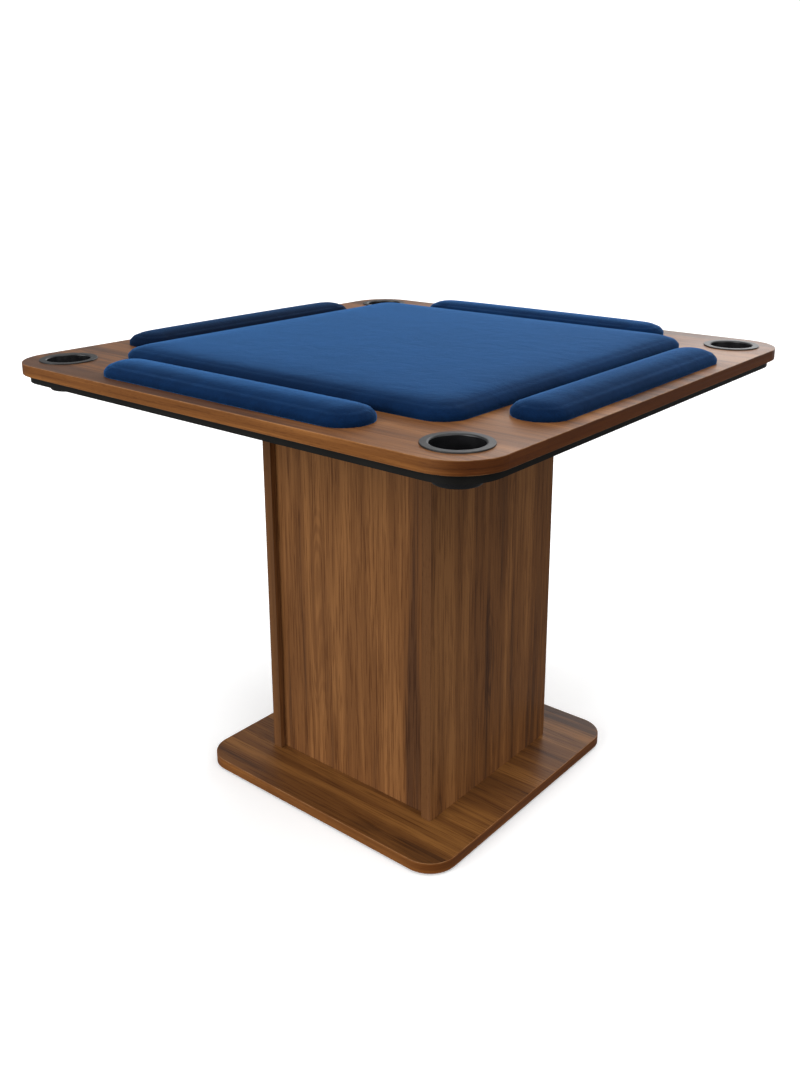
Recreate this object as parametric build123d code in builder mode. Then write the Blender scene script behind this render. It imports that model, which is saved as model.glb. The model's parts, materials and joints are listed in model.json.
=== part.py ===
"""Square card table: a padded walnut top with four drop-in cup holders on a boxed column and a base."""

from build123d import *
import os

# ---------------------------------------------------------------- driving sizes (mm)
# Overall
top_side = 920.0            # square top, edge to edge
surface_height = 744.0      # floor to the wooden surface of the top
base_side = 526.0           # square base, edge to edge
column_width = 360.0        # across X, over the side boards
column_depth = 340.0        # across Y, over the side boards

# Boards
top_thickness = 18.0
top_corner = 72.0
sub_top_thickness = 13.0
sub_top_inset = 11.0        # how far the black board stands back under the top
base_thickness = 18.0
base_corner = 50.0
side_thickness = 18.0
panel_thickness = 18.0
panel_recess = 12.0         # front and back panels behind the side boards' edges
cap_thickness = 18.0        # inner boards that close the column at each end
band_thickness = 1.0        # edge banding
band_round = 0.7            # trimmed edge of the banding
glide_height = 4.0
glide_radius = 12.0
glide_inset = 45.0          # glide centre to the base's edges
glide_bevel = 1.0

# Cup holders
cup_inset = 71.5            # cup centre to the top's edges
cup_mouth_radius = 36.5     # inner edge of the flat rim
cup_lip_round = 2.5         # from the rim down into the wall
cup_foot_radius = 31.5      # outside, at the bottom
cup_depth = 47.0            # below the wooden surface
cup_wall = 2.0
cup_rim_radius = 45.0
cup_rim_thickness = 2.0
cup_rim_round = 0.8
cup_play = 2.0              # gap between cup and hole
cup_edge_round = 3.0

# Pads
pad_board_thickness = 6.0
cover_thickness = 1.0
hem_width = 22.0            # cover turned in under the backing board
centre_corner = 42.0
centre_height = 22.0        # above the wooden surface
centre_edge_round = 12.0
armrest_length = 512.0
armrest_width = 82.0
armrest_corner = 40.0
armrest_height = 22.0
armrest_edge_round = 16.0
armrest_margin = 25.5       # wood left bare outside each armrest
pad_gap = 18.5              # wood left bare between the centre pad and each armrest

# Fasteners
screw_radius = 2.0
screw_head_radius = 4.0
screw_rim = 0.3             # straight edge of the head
drive_width = 1.0
drive_length = 4.0
drive_depth = 1.6
hole_play = 0.25            # round a screw in the board it passes through
pilot_play = 0.05           # round a screw in the board it bites
pad_screw_length = 24.0
sub_top_screw_length = 25.0
top_screw_length = 44.0
base_screw_length = 32.0
back_screw_length = 40.0
glide_screw_length = 15.0
glide_head_sink = 1.0       # screw head below the glide's foot
cam_radius = 7.4
cam_height = 12.0
cam_setback = 34.0          # cam centre from the joint
bolt_radius = 2.9
bolt_thread_radius = 2.5
bolt_thread_length = 11.0
bolt_head_length = 3.0
dowel_radius = 4.0
dowel_in_side = 10.0
dowel_in_panel = 18.0
dowel_bevel = 0.8
fitting_play = 0.1

# Fastener places
sub_top_screw_inset = 19.0  # from the sub-top's edges
sub_top_screw_pitch = 250.0
sub_top_inner_pitch = 440.0
centre_screw_pitch = 260.0
armrest_screw_pitch = 180.0
column_screw_x = 160.0      # spacing of the screws through the cap and the sole
column_screw_y = 220.0
back_screw_x = 200.0
cap_cam_pitch = 180.0
cap_dowel_pitch = 80.0
panel_cam_end = 80.0        # highest and lowest panel cams from the column's ends
panel_dowel_end = 160.0

# ---------------------------------------------------------------- derived places
base_bottom = glide_height
base_top = base_bottom + base_thickness
top_bottom = surface_height - top_thickness
sub_top_bottom = top_bottom - sub_top_thickness
column_height = sub_top_bottom - base_top
sub_top_side = top_side - 2 * sub_top_inset
inner_width = column_width - 2 * side_thickness
panel_face = column_depth / 2 - panel_recess
inner_depth = 2 * (panel_face - panel_thickness)
cup_spacing = top_side - 2 * cup_inset
cup_throat_radius = cup_mouth_radius - cup_lip_round
cup_hole_radius = cup_throat_radius + cup_wall + cup_play
armrest_centre = top_side / 2 - armrest_margin - armrest_width / 2
centre_side = top_side - 2 * (armrest_margin + armrest_width + pad_gap)
cap_bottom = sub_top_bottom - cap_thickness

on_floor = (Align.CENTER, Align.CENTER, Align.MIN)
side_names = ("front", "right", "back", "left")
corner_names = {
    "front_left": (-1, -1),
    "front_right": (1, -1),
    "back_right": (1, 1),
    "back_left": (-1, 1),
}


# ---------------------------------------------------------------- helpers
def save(name, builder):
    """Label a finished piece and write it."""
    builder.part.label = name
    export_step(builder.part, f"parts/{name}.step")


def underside(height):
    """Plane at a height that looks down, for holes drilled up from below."""
    return Plane(origin=(0, 0, height), x_dir=(1, 0, 0), z_dir=(0, 0, -1))


def side_plane(side, height, reach=0.0):
    """Plane on one side of the table, with its -Y towards the edge of the top."""
    turned = Plane.XY.rotated((0, 0, 90 * side_names.index(side)))
    return Plane(
        origin=turned.from_local_coords((0, -reach, height)),
        x_dir=turned.x_dir,
        z_dir=(0, 0, 1),
    )


def screw(length):
    """Countersunk screw: its head lies on the XY plane and its point is along +Z."""
    cone_end = screw_rim + screw_head_radius - screw_radius
    point_start = length - 2 * screw_radius
    with BuildPart() as made:
        with BuildSketch(Plane.XZ):
            with BuildLine():
                Polyline(
                    (0, 0),
                    (screw_head_radius, 0),
                    (screw_head_radius, screw_rim),
                    (screw_radius, cone_end),
                    (screw_radius, point_start),
                    (0, length),
                    close=True,
                )
            make_face()
        revolve(axis=Axis.Z)
        with BuildSketch():
            Rectangle(drive_length, drive_width)
            Rectangle(drive_width, drive_length)
        extrude(amount=drive_depth, mode=Mode.SUBTRACT)
    return made.part


def screws(length, places):
    """A group of identical screws."""
    one = screw(length)
    with BuildPart() as group:
        with Locations(*places):
            add(one)
    return group


def sunk_hole():
    """Clearance hole with a countersink, at each active location."""
    CounterSinkHole(
        radius=screw_radius + hole_play,
        counter_sink_radius=screw_head_radius + screw_rim + pilot_play,
        counter_sink_angle=90,
    )


def pilot_hole(depth):
    """Pilot hole that a screw bites in, at each active location."""
    Hole(radius=screw_radius + pilot_play, depth=depth)


def round_board(side, corner, bottom, thickness):
    """Square board with rounded corners."""
    with BuildPart() as board:
        with BuildSketch(Plane.XY.offset(bottom)):
            RectangleRounded(side, side, corner)
        extrude(amount=thickness)
    return board


def edge_band(side, corner, bottom, thickness):
    """Strip of banding all round a square board."""
    with BuildPart() as band:
        with BuildSketch(Plane.XY.offset(bottom)):
            RectangleRounded(side, side, corner)
            bare = side - 2 * band_thickness
            RectangleRounded(bare, bare, corner - band_thickness, mode=Mode.SUBTRACT)
        extrude(amount=thickness)
        levels = band.faces().sort_by(Axis.Z)
        rims = levels[0].outer_wire().edges() + levels[-1].outer_wire().edges()
        fillet(rims, band_round)
    return band


# ---------------------------------------------------------------- screw places
def grid(x_spacing, y_spacing, x_count, y_count):
    """Points of a centred grid."""
    return [place.position for place in GridLocations(x_spacing, y_spacing, x_count, y_count)]


def around(points):
    """The same points on each of the four sides of the table."""
    turned = []
    for side in side_names:
        plane = side_plane(side, 0)
        for x, reach in points:
            turned.append(plane.from_local_coords((x, -reach, 0)))
    return turned


def at_height(points, height):
    """Points of a plan moved up to a height."""
    return [(point.X, point.Y, height) for point in points]


def flat(points):
    """Points of a plan as seen on a plane that looks down."""
    return [(point.X, -point.Y) for point in points]


sub_top_edge_reach = sub_top_side / 2 - sub_top_screw_inset
sub_top_screw_points = around(
    [(offset * sub_top_screw_pitch, sub_top_edge_reach) for offset in (-1, 0, 1)]
) + grid(sub_top_inner_pitch, sub_top_inner_pitch, 2, 2)
centre_screw_points = grid(centre_screw_pitch, centre_screw_pitch, 3, 3)
armrest_screw_points = around(
    [(offset * armrest_screw_pitch, armrest_centre) for offset in (-1, 0, 1)]
)
column_screw_points = grid(column_screw_x, column_screw_y, 2, 2)
cup_points = grid(cup_spacing, cup_spacing, 2, 2)
glide_points = grid(base_side - 2 * glide_inset, base_side - 2 * glide_inset, 2, 2)


# ---------------------------------------------------------------- edge fittings
# Each joint has a plane: its origin is on a side board's inner face at the middle of the
# panel's thickness, +X runs into the panel and +Z points to the face with the cam in it.
def joint_plane(hand, y, z, cam_side):
    """Joint on the left (-1) or right (1) side board."""
    return Plane(origin=(hand * inner_width / 2, y, z), x_dir=(-hand, 0, 0), z_dir=cam_side)


panel_middle = panel_face - panel_thickness / 2
panel_cam_heights = (
    base_top + panel_cam_end,
    base_top + column_height / 2,
    sub_top_bottom - panel_cam_end,
)
panel_dowel_heights = (base_top + panel_dowel_end, sub_top_bottom - panel_dowel_end)
cap_middle = sub_top_bottom - cap_thickness / 2
sole_middle = base_top + cap_thickness / 2


def panel_joints(heights):
    """Joints of the front panel with both side boards."""
    return [joint_plane(hand, -panel_middle, z, (0, 1, 0)) for hand in (-1, 1) for z in heights]


def cap_joints(pitch):
    """Joints of the upper inner board, whose cams open downwards."""
    return [
        joint_plane(hand, end * pitch / 2, cap_middle, (0, 0, -1))
        for hand in (-1, 1)
        for end in (-1, 1)
    ]


def sole_joints(pitch):
    """Joints of the lower inner board, whose cams open upwards."""
    return [
        joint_plane(hand, end * pitch / 2, sole_middle, (0, 0, 1))
        for hand in (-1, 1)
        for end in (-1, 1)
    ]


cam_joints = {
    "front_panel": panel_joints(panel_cam_heights),
    "cap": cap_joints(cap_cam_pitch),
    "sole": sole_joints(cap_cam_pitch),
}
dowel_joints = {
    "front_panel": panel_joints(panel_dowel_heights),
    "cap": cap_joints(cap_dowel_pitch),
    "sole": sole_joints(cap_dowel_pitch),
}
all_cam_joints = cam_joints["front_panel"] + cam_joints["cap"] + cam_joints["sole"]
all_dowel_joints = dowel_joints["front_panel"] + dowel_joints["cap"] + dowel_joints["sole"]


def on_side(joints, hand):
    """The joints that lie on one side board."""
    return [joint for joint in joints if joint.origin.X * hand > 0]


def rod(radius, start, end):
    """Round bar along X."""
    with BuildPart() as made:
        with BuildSketch(Plane.YZ.offset(start)):
            Circle(radius)
        extrude(amount=end - start)
    return made.part


def cam_bolt():
    """Threaded into the side board, with its head held in the cam."""
    neck = cam_setback - bolt_head_length
    with BuildPart() as made:
        with BuildSketch(Plane.XZ):
            with BuildLine():
                Polyline(
                    (-bolt_thread_length, 0),
                    (-bolt_thread_length, bolt_thread_radius),
                    (0, bolt_thread_radius),
                    (0, bolt_radius),
                    (neck - bolt_radius, bolt_radius),
                    (neck, bolt_radius / 2),
                    (neck, bolt_radius),
                    (cam_setback, bolt_radius),
                    (cam_setback, 0),
                    close=True,
                )
            make_face()
        revolve(axis=Axis.X)
    return made.part


def cam_pocket(play, mouth):
    """Solid of a cam's outer shape, which reaches past the panel's face by mouth."""
    face = panel_thickness / 2
    with BuildPart() as made:
        with BuildSketch(Plane.XY.offset(face - cam_height - play)):
            with Locations((cam_setback, 0)):
                Circle(cam_radius + play)
        extrude(amount=cam_height + play + mouth)
    return made.part


def cam():
    """Round cam with a side hole for the bolt and a cross drive in its face."""
    face = panel_thickness / 2
    slot = Location((cam_setback, 0, face - drive_depth))
    with BuildPart() as made:
        add(cam_pocket(0, 0))
        add(rod(bolt_radius + fitting_play, 0, cam_setback + fitting_play), mode=Mode.SUBTRACT)
        with Locations(slot):
            for length, width in ((2 * drive_length, drive_width), (drive_width, 2 * drive_length)):
                Box(length, width, drive_depth, align=on_floor, mode=Mode.SUBTRACT)
    return made.part


def dowel():
    """Fluted wooden peg, plain here, with bevelled ends."""
    with BuildPart() as made:
        add(rod(dowel_radius, -dowel_in_side, dowel_in_panel))
        chamfer(made.edges().filter_by(GeomType.CIRCLE), dowel_bevel)
    return made.part


def cut_panel_fittings(board):
    """Cam pockets, bolt bores and dowel holes in a panel's two ends."""
    with Locations(*cam_joints[board]):
        add(cam_pocket(fitting_play, cam_height), mode=Mode.SUBTRACT)
        add(rod(bolt_radius + hole_play, 0, cam_setback), mode=Mode.SUBTRACT)
    with Locations(*dowel_joints[board]):
        add(rod(dowel_radius + pilot_play, 0, dowel_in_panel + fitting_play), mode=Mode.SUBTRACT)


def fitting_group(one, joints):
    """Identical fittings, one at each joint."""
    with BuildPart() as group:
        with Locations(*joints):
            add(one)
    return group


# ---------------------------------------------------------------- top
def top_board():
    """Walnut board with the four cup holes and pilot holes from below."""
    bare = top_side - 2 * band_thickness
    board = round_board(bare, top_corner - band_thickness, top_bottom, top_thickness)
    with board:
        with Locations(*at_height(cup_points, surface_height)):
            Hole(radius=cup_hole_radius)
        with Locations(underside(top_bottom)):
            with Locations(*flat(centre_screw_points + armrest_screw_points)):
                sunk_hole()
            with Locations(*flat(sub_top_screw_points)):
                pilot_hole(sub_top_screw_length - sub_top_thickness)
            with Locations(*flat(column_screw_points)):
                pilot_hole(top_screw_length - cap_thickness - sub_top_thickness)
    return board


def sub_top():
    """Black board under the top, with the cups passing through it."""
    board = round_board(
        sub_top_side, top_corner - sub_top_inset, sub_top_bottom, sub_top_thickness
    )
    with board:
        with Locations(*at_height(cup_points, top_bottom)):
            Hole(radius=cup_hole_radius)
        with Locations(underside(sub_top_bottom)):
            with Locations(*flat(sub_top_screw_points)):
                sunk_hole()
            with Locations(*flat(column_screw_points)):
                Hole(radius=screw_radius + hole_play)
    return board


def cup_holder(corner):
    """Tapered cup with a flat rim that rests on the wooden surface."""
    x_sign, y_sign = corner_names[corner]
    centre = (x_sign * cup_spacing / 2, y_sign * cup_spacing / 2, surface_height)
    upright = Plane(origin=centre, x_dir=(1, 0, 0), z_dir=(0, -1, 0))
    inner_floor = cup_wall - cup_depth
    with BuildPart() as cup:
        with BuildSketch(upright) as profile:
            with BuildLine():
                Polyline(
                    (0, -cup_depth),
                    (cup_foot_radius, -cup_depth),
                    (cup_throat_radius + cup_wall, 0),
                    (cup_rim_radius, 0),
                    (cup_rim_radius, cup_rim_thickness),
                    (cup_throat_radius, cup_rim_thickness),
                    (cup_foot_radius - cup_wall, inner_floor),
                    (0, inner_floor),
                    close=True,
                )
            make_face()
            outwards = profile.vertices().group_by(Axis.X)
            fillet(outwards[1] + outwards[2], cup_edge_round)
            fillet(profile.vertices().group_by(Axis.Y)[-1].sort_by(Axis.X)[0], cup_lip_round)
            fillet(profile.vertices().group_by(Axis.Y)[-1].sort_by(Axis.X)[-1], cup_rim_round)
        revolve(axis=Axis(centre, (0, 0, 1)))
    return cup


# ---------------------------------------------------------------- pads
def pad_outline(plane, length, width, corner, shrink):
    """Plan of a pad, drawn in by shrink on every side."""
    with BuildSketch(plane) as outline:
        RectangleRounded(length - 2 * shrink, width - 2 * shrink, corner - shrink)
    return outline


def domed(plane, length, width, corner, height, edge_round, shrink):
    """Pad-shaped block whose upper edge is rounded over."""
    with BuildPart() as block:
        add(pad_outline(plane, length, width, corner, shrink).sketch)
        extrude(amount=height - shrink)
        fillet(block.faces().sort_by(Axis.Z)[-1].edges(), edge_round - shrink)
    return block.part


def pad_pieces(plane, length, width, corner, height, edge_round, screw_points):
    """Backing board, foam and cover of one pad that stands on a plane."""
    on_board = plane.offset(cover_thickness)
    on_foam = on_board.offset(pad_board_thickness)
    shape = (length, width, corner, height, edge_round)
    with BuildPart() as board:
        add(pad_outline(on_board, length, width, corner, cover_thickness).sketch)
        extrude(amount=pad_board_thickness)
        bite = pad_screw_length - top_thickness - cover_thickness
        with Locations(underside(surface_height + cover_thickness)):
            with Locations(*flat(screw_points)):
                pilot_hole(bite)
    with BuildPart() as foam:
        add(domed(plane, *shape, cover_thickness))
        add(pad_outline(plane, length, width, corner, 0).sketch)
        extrude(amount=cover_thickness + pad_board_thickness, mode=Mode.SUBTRACT)
    with BuildPart() as cover:
        add(domed(plane, *shape, 0))
        add(foam.part, mode=Mode.SUBTRACT)
        add(pad_outline(on_board, length, width, corner, cover_thickness).sketch)
        extrude(amount=pad_board_thickness, mode=Mode.SUBTRACT)
        add(pad_outline(plane, length, width, corner, hem_width).sketch)
        extrude(amount=cover_thickness, mode=Mode.SUBTRACT)
    return board, foam, cover


# ---------------------------------------------------------------- column
def side_board(hand):
    """Upright board of the column, left (-1) or right (1), bare at its banded edges."""
    with BuildPart() as board:
        with BuildSketch(Plane.XY.offset(base_top)):
            with Locations((hand * (column_width - side_thickness) / 2, 0)):
                Rectangle(side_thickness, column_depth - 2 * band_thickness)
        extrude(amount=column_height)
        with Locations(*on_side(all_cam_joints, hand)):
            thread = rod(bolt_thread_radius + pilot_play, -bolt_thread_length - fitting_play, 0)
            add(thread, mode=Mode.SUBTRACT)
        with Locations(*on_side(all_dowel_joints, hand)):
            add(rod(dowel_radius + pilot_play, -dowel_in_side - fitting_play, 0), mode=Mode.SUBTRACT)
    return board


def side_bands(hand):
    """Banding on the front and back edges of a side board."""
    reach = (column_depth - band_thickness) / 2
    with BuildPart() as bands:
        with BuildSketch(Plane.XY.offset(base_top)):
            x = hand * (column_width - side_thickness) / 2
            with Locations((x, -reach), (x, reach)):
                Rectangle(side_thickness, band_thickness)
        extrude(amount=column_height)
    return bands


def column_panel(y_sign):
    """Panel between the side boards, at the front (-1) or the back (1)."""
    with BuildPart() as panel:
        with BuildSketch(Plane.XY.offset(base_top)):
            with Locations((0, y_sign * panel_middle)):
                Rectangle(inner_width, panel_thickness)
        extrude(amount=column_height)
    return panel


def inner_board(bottom):
    """Level board that closes the column between its four walls."""
    with BuildPart() as board:
        with BuildSketch(Plane.XY.offset(bottom)):
            Rectangle(inner_width, inner_depth)
        extrude(amount=cap_thickness)
    return board


def back_screw_planes():
    """Screws through the back panel into the two inner boards, driven from behind."""
    return [
        Plane(origin=(end * back_screw_x / 2, panel_face, z), x_dir=(1, 0, 0), z_dir=(0, -1, 0))
        for z in (sole_middle, cap_middle)
        for end in (-1, 1)
    ]


def drilled_from_behind(z, y):
    """Planes for the back panel's screw holes at a height, which look backwards."""
    return [
        Plane(origin=(end * back_screw_x / 2, y, z), x_dir=(1, 0, 0), z_dir=(0, 1, 0))
        for end in (-1, 1)
    ]


# ---------------------------------------------------------------- base
def base_board():
    """Walnut base with holes from below for the column and the glides."""
    bare = base_side - 2 * band_thickness
    board = round_board(bare, base_corner - band_thickness, base_bottom, base_thickness)
    with board:
        with Locations(underside(base_bottom)):
            with Locations(*flat(column_screw_points)):
                sunk_hole()
            with Locations(*flat(glide_points)):
                pilot_hole(glide_screw_length + glide_head_sink - glide_height)
    return board


def base_glides():
    """Four round glides that the table stands on."""
    with BuildPart() as glides:
        with BuildSketch():
            with Locations(*at_height(glide_points, 0)):
                Circle(glide_radius)
        extrude(amount=glide_height)
        chamfer(glides.faces().group_by(Axis.Z)[0].edges(), glide_bevel)
        with Locations(underside(glide_head_sink)):
            with Locations(*flat(glide_points)):
                sunk_hole()
        with BuildSketch():
            with Locations(*at_height(glide_points, 0)):
                Circle(screw_head_radius + screw_rim + pilot_play)
        extrude(amount=glide_head_sink, mode=Mode.SUBTRACT)
    return glides


# ---------------------------------------------------------------- build and write
os.makedirs("parts", exist_ok=True)

save("top_board", top_board())
save("top_edge_band", edge_band(top_side, top_corner, top_bottom, top_thickness))
save("sub_top", sub_top())
save("sub_top_screws", screws(sub_top_screw_length, at_height(sub_top_screw_points, sub_top_bottom)))
for corner in corner_names:
    save(f"cup_holder_{corner}", cup_holder(corner))

centre_plane = Plane.XY.offset(surface_height)
centre_pieces = pad_pieces(
    centre_plane, centre_side, centre_side, centre_corner, centre_height, centre_edge_round,
    centre_screw_points,
)
for suffix, piece in zip(("board", "foam", "cover"), centre_pieces):
    save(f"centre_pad_{suffix}", piece)
save("centre_pad_screws", screws(pad_screw_length, at_height(centre_screw_points, top_bottom)))

for side in side_names:
    index = side_names.index(side)
    own_screws = armrest_screw_points[3 * index:3 * index + 3]
    pieces = pad_pieces(
        side_plane(side, surface_height, armrest_centre), armrest_length, armrest_width,
        armrest_corner, armrest_height, armrest_edge_round, own_screws,
    )
    for suffix, piece in zip(("board", "foam", "cover"), pieces):
        save(f"armrest_{side}_{suffix}", piece)
save("armrest_screws", screws(pad_screw_length, at_height(armrest_screw_points, top_bottom)))

for hand, name in ((-1, "left"), (1, "right")):
    save(f"column_side_{name}", side_board(hand))
    save(f"column_side_{name}_bands", side_bands(hand))

front_panel = column_panel(-1)
with front_panel:
    cut_panel_fittings("front_panel")
save("column_front_panel", front_panel)

back_panel = column_panel(1)
with back_panel:
    for z in (sole_middle, cap_middle):
        with Locations(*drilled_from_behind(z, panel_face)):
            sunk_hole()
save("column_back_panel", back_panel)
save("back_panel_screws", screws(back_screw_length, back_screw_planes()))

column_cap = inner_board(cap_bottom)
with column_cap:
    cut_panel_fittings("cap")
    with Locations(underside(cap_bottom)):
        with Locations(*flat(column_screw_points)):
            sunk_hole()
    with Locations(*drilled_from_behind(cap_middle, inner_depth / 2)):
        pilot_hole(back_screw_length - panel_thickness)
save("column_cap", column_cap)

column_sole = inner_board(base_top)
with column_sole:
    cut_panel_fittings("sole")
    with Locations(underside(base_top)):
        with Locations(*flat(column_screw_points)):
            pilot_hole(base_screw_length - base_thickness)
    with Locations(*drilled_from_behind(sole_middle, inner_depth / 2)):
        pilot_hole(back_screw_length - panel_thickness)
save("column_sole", column_sole)

save("top_fixing_screws", screws(top_screw_length, at_height(column_screw_points, cap_bottom)))
save("column_cams", fitting_group(cam(), all_cam_joints))
save("column_cam_bolts", fitting_group(cam_bolt(), all_cam_joints))
save("column_dowels", fitting_group(dowel(), all_dowel_joints))

save("base_board", base_board())
save("base_edge_band", edge_band(base_side, base_corner, base_bottom, base_thickness))
save("base_fixing_screws", screws(base_screw_length, at_height(column_screw_points, base_bottom)))
save("base_glides", base_glides())
save("glide_screws", screws(glide_screw_length, at_height(glide_points, glide_head_sink)))
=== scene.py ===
"""Looks of a square padded card table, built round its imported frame.

The frame gives every place and size. The pads are sewn goods and are made here. Every other piece
keeps its frame mesh and gets its finish here.
"""

import json
import logging
import math
from dataclasses import dataclass, field
from enum import Enum

import bmesh
import bpy
from mathutils import Matrix, Vector

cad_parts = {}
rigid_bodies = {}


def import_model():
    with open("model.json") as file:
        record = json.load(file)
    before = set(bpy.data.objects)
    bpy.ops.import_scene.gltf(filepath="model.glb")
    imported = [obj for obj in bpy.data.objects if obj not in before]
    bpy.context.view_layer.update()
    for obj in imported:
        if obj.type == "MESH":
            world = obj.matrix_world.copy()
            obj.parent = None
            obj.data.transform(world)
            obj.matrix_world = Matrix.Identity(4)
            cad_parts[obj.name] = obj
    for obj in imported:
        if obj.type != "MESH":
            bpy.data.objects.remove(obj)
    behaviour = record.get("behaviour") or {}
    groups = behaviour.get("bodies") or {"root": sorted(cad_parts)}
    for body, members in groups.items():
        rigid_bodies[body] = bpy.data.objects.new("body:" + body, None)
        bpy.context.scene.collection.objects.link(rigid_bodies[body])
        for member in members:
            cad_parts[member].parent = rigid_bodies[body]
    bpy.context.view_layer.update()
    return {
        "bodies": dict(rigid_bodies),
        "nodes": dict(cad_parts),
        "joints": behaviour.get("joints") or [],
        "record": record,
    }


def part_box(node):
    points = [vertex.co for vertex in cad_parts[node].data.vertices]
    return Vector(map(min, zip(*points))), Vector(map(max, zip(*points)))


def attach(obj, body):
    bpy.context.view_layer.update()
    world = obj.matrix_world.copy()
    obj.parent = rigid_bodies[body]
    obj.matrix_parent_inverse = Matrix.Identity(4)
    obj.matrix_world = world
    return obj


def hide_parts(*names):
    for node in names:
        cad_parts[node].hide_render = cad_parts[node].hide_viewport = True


LOG = logging.getLogger("card_table")
MM = 0.001
MERGE_DISTANCE = 0.02 * MM
# The pads' undersides: which points belong to them, in mesh steps, and how far they clear the wood.
HEM_SHARE = 1.2
UNDERSIDE_SHARE = 0.6
UNDERSIDE_NORMAL = -0.5
UNDERSIDE_LIFT = 0.05 * MM
# A finished cover's foot comes no further inside the pad's outline than this, so its board is hidden.
LEAST_MARGIN = -0.6 * MM
# Each kind of pad: its corner in plan, the width of its rounded shoulder, and the centre pad's mesh.
CENTRE_CORNER = 42 * MM
CENTRE_SHOULDER = 24 * MM
CENTRE_VOXEL = 6 * MM
ARMREST_CORNER = 40.9 * MM
ARMREST_SHOULDER = 33 * MM
SIDES = ("front", "right", "back", "left")
CORNERS = ("front_left", "front_right", "back_right", "back_left")
TABLE_BODY = "table"
# Painted light and shade on each armrest: its velvet's colour and sheen are scaled by this, and the
# left one is darkened most.
ARMREST_PAINTED_LIGHT_AND_SHADE = {"front": 1.15, "right": 0.90, "back": 1.10, "left": 0.45}
# Places of the colour sockets on Blender's mix node, which share their names with number sockets.
MIX_UNDER = 6
MIX_OVER = 7
MIX_RESULT = 2
WHITE = (1.0, 1.0, 1.0)


class Grain(Enum):
    """The way a board's wood grain runs, as the index of its axis."""

    ALONG_X = 0
    ALONG_Z = 2


Colour = tuple[float, float, float]
Triple = tuple[float, float, float]


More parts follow.
